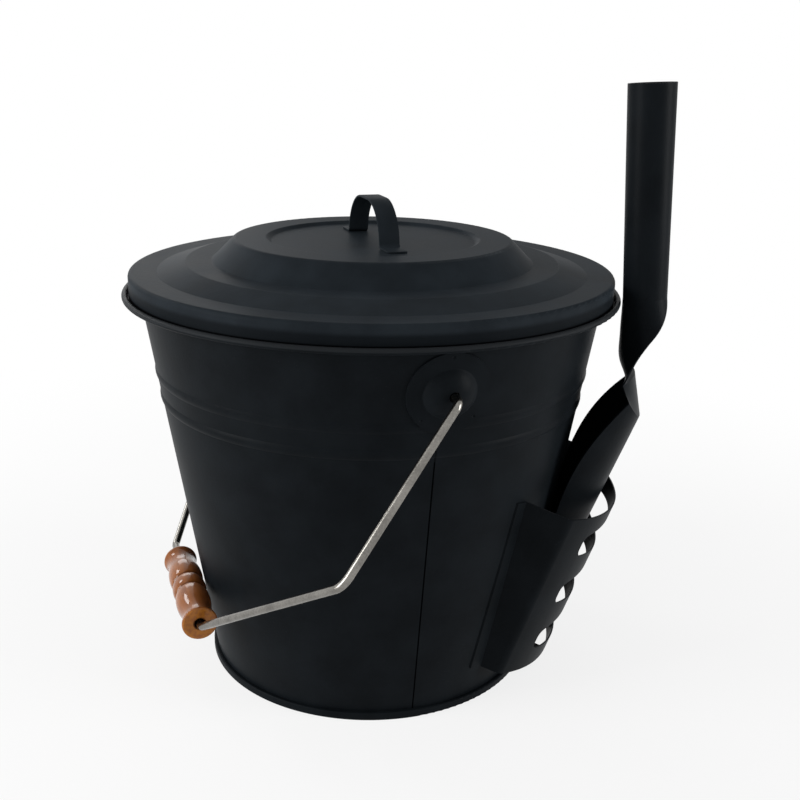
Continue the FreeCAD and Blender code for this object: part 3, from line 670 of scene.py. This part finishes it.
class ASHBUCKET_OT_fold_strap(bpy.types.Operator):
    """Folds the lid's strap handle: two feet and an arch, rounded at its bends, corners and edges"""
    bl_idname = "ashbucket.fold_strap"
    bl_label = "Fold the strap handle"
    bl_options = {"REGISTER", "UNDO"}

    def execute(self, context):
        strap = context.scene.ash_bucket.strap
        floor = STRAP_LOW.z
        top = STRAP_HIGH.z - strap.thickness
        left = STRAP_LOW.x
        foot = STRAP_HIGH.y
        leg = strap.leg_span / 2
        over = strap.top_span / 2
        rows = [(-foot, floor), (-leg, floor), (-over, top), (over, top), (leg, floor), (foot, floor)]
        outline = [Vector((left, y, z)) for y, z in rows]
        piece = lone_point("strap_handle", outline[0])
        draw_outline(outline)
        round_corners(piece, outline, (1, 4), STRAP_FOOT_BEND)
        round_corners(piece, outline, (2, 3), STRAP_TOP_BEND)
        bpy.ops.mesh.select_all(action="SELECT")
        extrude_by(Vector((STRAP_HIGH.x - left, 0, 0)))
        close_shell()
        bpy.ops.object.mode_set(mode="OBJECT")
        bpy.ops.object.transform_apply(location=True, rotation=True, scale=True)
        face_up(piece)
        apply_modifier(piece, "SOLIDIFY", thickness=strap.thickness, offset=1.0, use_even_offset=True)
        round_feet(piece, foot, strap.thickness)
        apply_modifier(piece, "BEVEL", width=STRAP_EDGE, segments=STRAP_EDGE_STEPS, limit_method="ANGLE",
                       angle_limit=STRAP_EDGE_ANGLE)
        finish_piece(piece, bpy.data.materials[LID_COAT], "lid", "lid_handle")
        return {"FINISHED"}


def round_corners(piece, outline, which, radius):
    """Rounds the chosen corners of an open outline, in edit mode, by bevelling their points."""
    for index in which:
        before, corner, after = outline[index - 1], outline[index], outline[index + 1]
        turn = (corner - before).angle(after - corner)
        select_points(piece, lambda p: (p - corner).length < MERGE_GAP)
        bpy.ops.mesh.bevel(offset=radius * tan(turn / 2), segments=STRAP_BEND_STEPS, affect="VERTICES")


def select_points(piece, wanted):
    """Selects the points of the piece whose place passes the test, in edit mode."""
    bpy.ops.mesh.select_mode(type="VERT")
    bpy.ops.mesh.select_all(action="DESELECT")
    bpy.ops.object.mode_set(mode="OBJECT")
    world = piece.matrix_world
    found = 0
    for point in piece.data.vertices:
        point.select = wanted(world @ point.co)
        found += point.select
    bpy.ops.object.mode_set(mode="EDIT")
    if not found:
        raise RuntimeError("no point of " + piece.name + " is where it was expected")


def select_edges(piece, wanted):
    """Selects the edges whose two ends pass the test, in edit mode."""
    bpy.ops.mesh.select_mode(type="EDGE")
    bpy.ops.mesh.select_all(action="DESELECT")
    bpy.ops.object.mode_set(mode="OBJECT")
    points = piece.data.vertices
    found = 0
    for edge in piece.data.edges:
        first, second = (points[i].co for i in edge.vertices)
        edge.select = wanted(first, second)
        found += edge.select
    bpy.ops.object.mode_set(mode="EDIT")
    if not found:
        raise RuntimeError("no edge of " + piece.name + " is where it was expected")


def face_up(piece):
    """Turns the open strip so that its feet face upwards."""
    lowest = min(piece.data.polygons, key=lambda face: face.center.y)
    if lowest.normal.z < 0:
        bpy.ops.object.mode_set(mode="EDIT")
        bpy.ops.mesh.select_all(action="SELECT")
        bpy.ops.mesh.flip_normals()
        bpy.ops.object.mode_set(mode="OBJECT")


def round_feet(piece, foot, thickness):
    """Rounds the corners of the strap's two ends, seen from above."""
    def upright_end(first, second):
        at_end = abs(abs(first.y) - foot) < MERGE_GAP and abs(abs(second.y) - foot) < MERGE_GAP
        return at_end and abs(first.z - second.z) > thickness / 2

    bpy.ops.object.mode_set(mode="EDIT")
    select_edges(piece, upright_end)
    bpy.ops.mesh.bevel(offset=STRAP_CORNER, segments=STRAP_CORNER_STEPS, affect="EDGES")
    bpy.ops.object.mode_set(mode="OBJECT")


class ASHBUCKET_OT_coat_sheet(bpy.types.Operator):
    """Coats the pressed and rolled sheet: wall, bottom, ears, lid, shovel and its holder"""
    bl_idname = "ashbucket.coat_sheet"
    bl_label = "Coat the sheet metal"
    bl_options = {"REGISTER", "UNDO"}

    def execute(self, context):
        for name, rougher, ripple, paleness, ior, nodes in COATS:
            coat = black_coat(name, rougher, ripple, paleness, ior)
            for node in nodes:
                paint_node(node, coat)
        paint_node("rim_wire", bare_steel("rim steel"))
        return {"FINISHED"}


FLOOR_RADIUS = 6.0
FLOOR_SIDES = 96
FLOOR_MOTTLE = (6.0, 2.0)
FLOOR_MOTTLE_SHARE = 0.01
FLOOR_WHITE_SHARE = 0.80
SHADOW_NEAR = 0.25
SHADOW_FAR = 0.75
CAMERA_PLACE = Vector((0.0, -0.67635, 0.39202))
CAMERA_PITCH = radians(18.043)
CAMERA_YAW = radians(1.588)
CAMERA_ROLL = radians(1.136)
PHOTO_TURN = radians(-17.2)
# Soft lights: name, place, aim, width, height, power
LIGHTS = (
    ("left light", (-1.80, -0.07, 0.6), (0.0, 0.0, 0.2), 0.8, 1.3, 32.0),
    ("right light", (1.50, -0.95, 0.5), (0.0, 0.0, 0.2), 0.7, 1.1, 22.0),
    ("top light", (-0.2, 0.35, 2.0), (0.0, 0.0, 0.2), 1.6, 1.6, 4.0),
    ("back light", (-0.1, 2.1, 0.72), (0.0, 0.0, 0.25), 0.9, 0.5, 3.6),
    ("glint light", (-1.15, 1.4, 1.0), (-0.15, 0.0, 0.1), 0.42, 0.42, 6.5),
)


def seen_directly(shade):
    """1 on rays that come from the camera, a gloss or a clear piece."""
    names = ("Is Camera Ray", "Is Glossy Ray", "Is Transmission Ray")
    camera, gloss, clear = (shade.node("ShaderNodeLightPath", out=name) for name in names)
    return camera.largest(gloss).largest(clear)


def floor_finish(colour):
    """White floor that keeps the soft shadow near the object and fades into the background."""
    material = new_material("studio floor")
    shade = Shader(material.node_tree)
    place = shade.place()
    far = shade.ramp(shade.length(place), SHADOW_NEAR, SHADOW_FAR)
    mottle = shade.noise(place, *FLOOR_MOTTLE)
    matt = shade.node("ShaderNodeBsdfDiffuse", None, {"Color": colour})
    lit = shade.node("ShaderNodeEmission", None, {"Color": WHITE, "Strength": 1.0})
    share = FLOOR_WHITE_SHARE + FLOOR_MOTTLE_SHARE * (mottle - 0.5)
    share = share + (1.0 - share) * far
    shade.surface(shade.mix(share * seen_directly(shade), matt, lit))
    return material


def studio_world(strength):
    """Even white light from all round, behind a plain white background."""
    world = bpy.data.worlds.new("studio")
    world.use_nodes = True
    bpy.context.scene.world = world
    shade = Shader(world.node_tree)
    light = shade.node("ShaderNodeBackground", None, {"Color": WHITE, "Strength": strength})
    white = shade.node("ShaderNodeBackground", None, {"Color": WHITE, "Strength": 1.0})
    shade.surface(shade.mix(seen_directly(shade), light, white), "ShaderNodeOutputWorld")


def set_light(name, place, aim, width, height, power):
    lamp = bpy.data.lights.new(name, "AREA")
    lamp.shape = "RECTANGLE"
    lamp.size = width
    lamp.size_y = height
    lamp.energy = power
    holder = bpy.data.objects.new(name, lamp)
    bpy.context.scene.collection.objects.link(holder)
    holder.location = place
    holder.rotation_euler = (Vector(aim) - Vector(place)).to_track_quat("-Z", "Y").to_euler()


def set_camera(lens):
    """The camera, where the photograph was taken from."""
    level = Vector((sin(CAMERA_YAW), cos(CAMERA_YAW), 0))
    ahead = level * cos(CAMERA_PITCH) - UP * sin(CAMERA_PITCH)
    right = ahead.cross(UP).normalized()
    up = right.cross(ahead)
    rolled_right = right * cos(CAMERA_ROLL) + up * sin(CAMERA_ROLL)
    rolled_up = up * cos(CAMERA_ROLL) - right * sin(CAMERA_ROLL)
    turned = Matrix((rolled_right, rolled_up, -ahead)).transposed().to_4x4()
    lens_data = bpy.data.cameras.new("camera")
    lens_data.lens = lens
    lens_data.sensor_width = SENSOR_WIDTH
    camera = bpy.data.objects.new("camera", lens_data)
    bpy.context.scene.collection.objects.link(camera)
    camera.matrix_world = Matrix.Rotation(PHOTO_TURN, 4, "Z") @ Matrix.Translation(CAMERA_PLACE) @ turned
    bpy.context.scene.camera = camera


class ASHBUCKET_OT_set_stage(bpy.types.Operator):
    """Sets the pale floor, the even surround, the soft lights and the camera"""
    bl_idname = "ashbucket.set_stage"
    bl_label = "Set the stage"
    bl_options = {"REGISTER", "UNDO"}

    def execute(self, context):
        settings = context.scene.ash_bucket.stage
        bpy.ops.object.select_all(action="DESELECT")
        bpy.ops.mesh.primitive_circle_add(vertices=FLOOR_SIDES, radius=FLOOR_RADIUS, fill_type="NGON")
        floor = context.object
        floor.name = "studio_floor"
        floor.data.materials.append(floor_finish(tuple(settings.floor_colour)))
        studio_world(settings.world_strength)
        for light in LIGHTS:
            set_light(*light)
        set_camera(settings.lens)
        context.scene.view_settings.view_transform = "Standard"
        return {"FINISHED"}


class ASHBUCKET_PT_dresser(bpy.types.Panel):
    """Lists the steps that dress the bucket"""
    bl_idname = "ASHBUCKET_PT_dresser"
    bl_label = "Ash bucket"
    bl_space_type = "VIEW_3D"
    bl_region_type = "UI"
    bl_category = "Ash bucket"

    def draw(self, context):
        settings = context.scene.ash_bucket
        for step in STEPS:
            self.layout.operator(step.bl_idname)
        for group in (settings.coat, settings.grip, settings.rod, settings.strap, settings.stage):
            box = self.layout.box()
            for key in group.__annotations__:
                box.prop(group, key)


GROUPS = (CoatSettings, GripSettings, RodSettings, StrapSettings, StageSettings, BucketSettings)
STEPS = (
    ASHBUCKET_OT_coat_sheet,
    ASHBUCKET_OT_turn_grip,
    ASHBUCKET_OT_bend_rod,
    ASHBUCKET_OT_fold_strap,
    ASHBUCKET_OT_set_stage,
)


def register():
    for group in GROUPS + STEPS + (ASHBUCKET_PT_dresser,):
        bpy.utils.register_class(group)
    bpy.types.Scene.ash_bucket = bpy.props.PointerProperty(type=BucketSettings)


def unregister():
    del bpy.types.Scene.ash_bucket
    for group in reversed(GROUPS + STEPS + (ASHBUCKET_PT_dresser,)):
        bpy.utils.unregister_class(group)


def main():
    register()
    bpy.ops.ashbucket.coat_sheet()
    bpy.ops.ashbucket.turn_grip()
    bpy.ops.ashbucket.bend_rod()
    bpy.ops.ashbucket.fold_strap()
    bpy.ops.ashbucket.set_stage()


if __name__ == "__main__":
    main()
